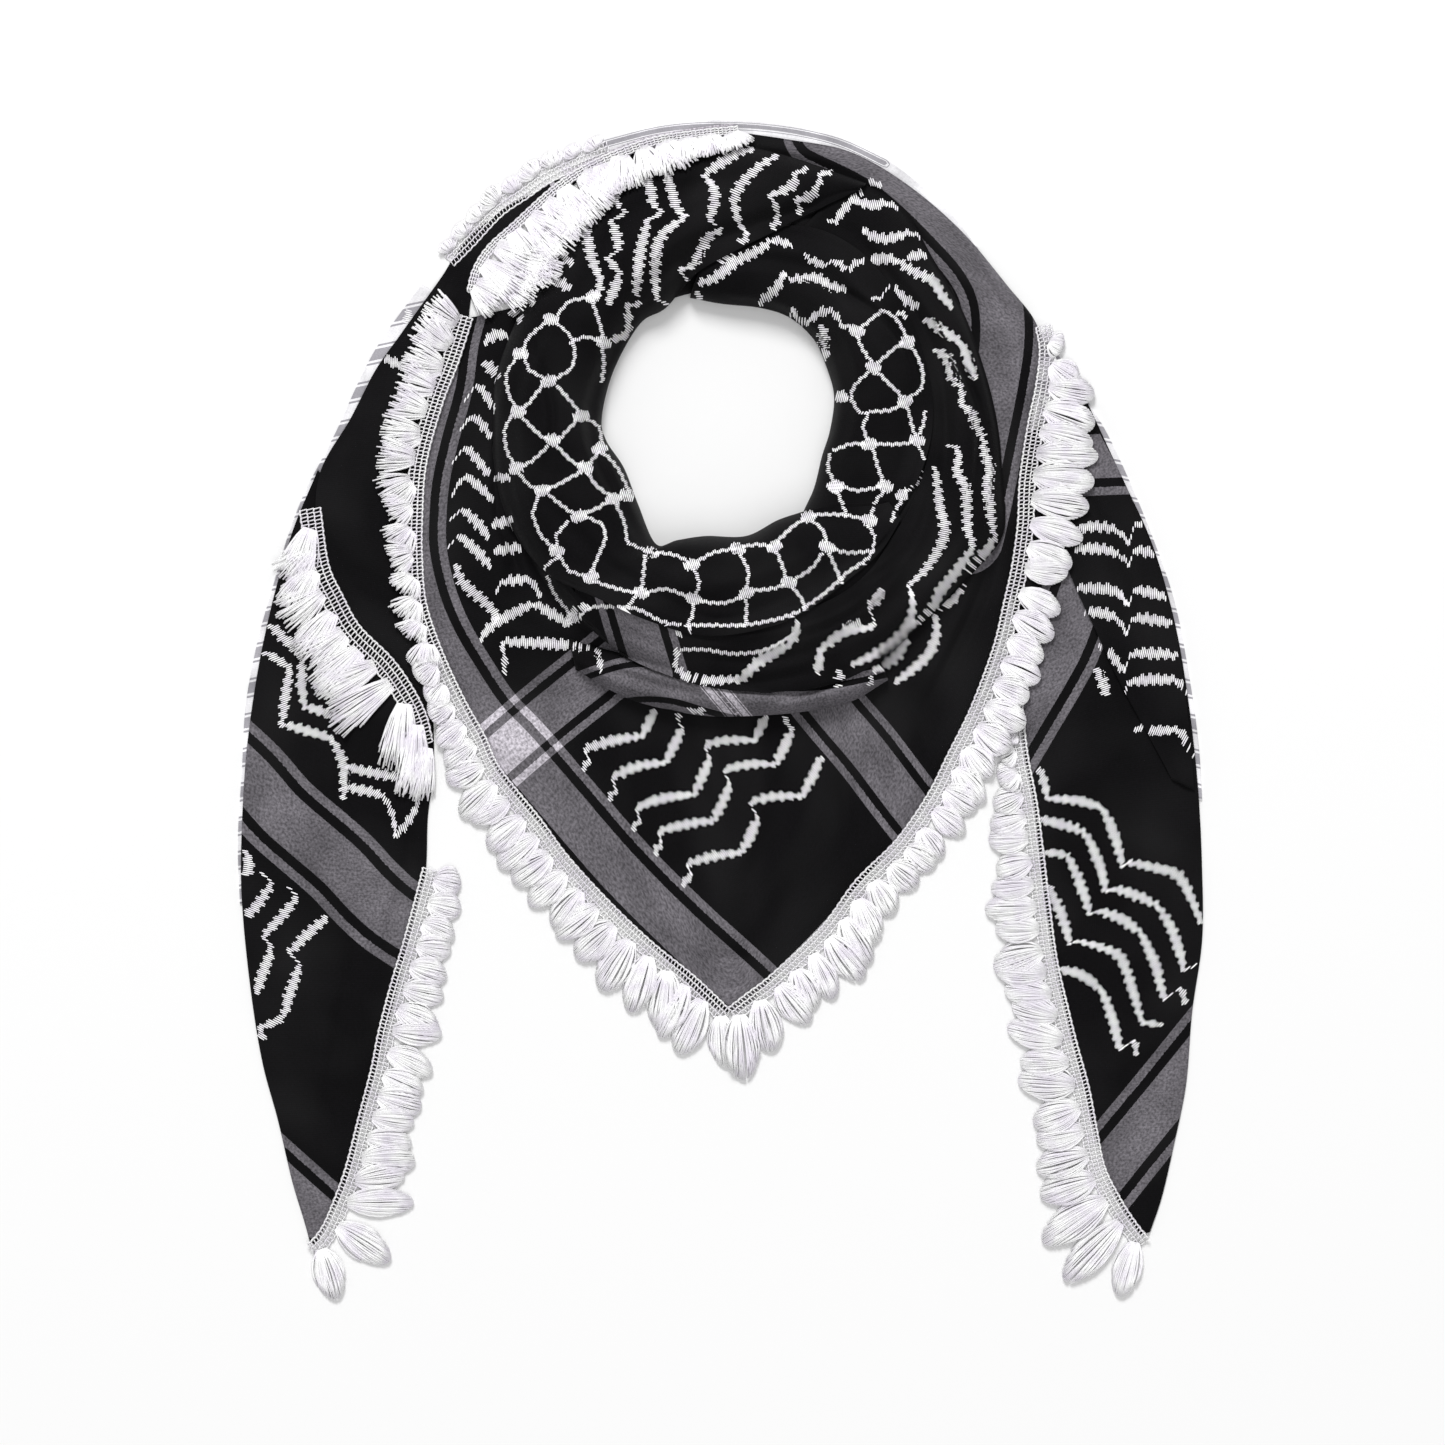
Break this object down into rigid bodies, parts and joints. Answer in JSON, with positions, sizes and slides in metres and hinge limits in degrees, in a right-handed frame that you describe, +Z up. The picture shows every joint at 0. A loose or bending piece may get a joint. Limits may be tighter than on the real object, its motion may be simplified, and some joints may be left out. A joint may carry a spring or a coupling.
{
  "type": "keffiyeh headscarf",
  "caption": "Black and white keffiyeh with tassel trim, wound with a triangular front bib, rolls around an open neck and hanging tails, laid flat.",
  "frame": {"origin": "on the surface the scarf lies on, under the middle of its outline", "axes": "+Z up off the surface, +Y from the tips of the tails to the back of the neck, +X to the viewer's right"},
  "size_m": [0.4824, 0.591, 0.0385],
  "materials": {
    "woven_cloth": "light woven cotton, near black, with white satin-stitched net and waves and speckled grey bands, matt",
    "cloth_reverse": "reverse side of the same cloth, pale with grey marks, matt",
    "tassel_trim": "white crochet tape with soft cotton tassels, matt"
  },
  "bodies": {
    "root": {"left_tail": "woven_cloth", "right_tail": "woven_cloth", "right_tail_fold": "woven_cloth", "left_flap": "woven_cloth", "hidden_folds": "woven_cloth", "front_bib": "woven_cloth", "back_band": "woven_cloth", "front_roll": "woven_cloth", "outer_wrap": "woven_cloth", "inner_collar": "woven_cloth", "main_wrap": "woven_cloth", "under_ply_left": "cloth_reverse", "under_ply_back": "cloth_reverse", "under_ply_right": "cloth_reverse", "back_trim_outer": "tassel_trim", "left_tail_trim": "tassel_trim", "right_tail_trim": "tassel_trim", "flap_trim": "tassel_trim", "bib_trim_left": "tassel_trim", "bib_trim_right": "tassel_trim", "back_trim_inner": "tassel_trim"}
  },
  "joints": []
}
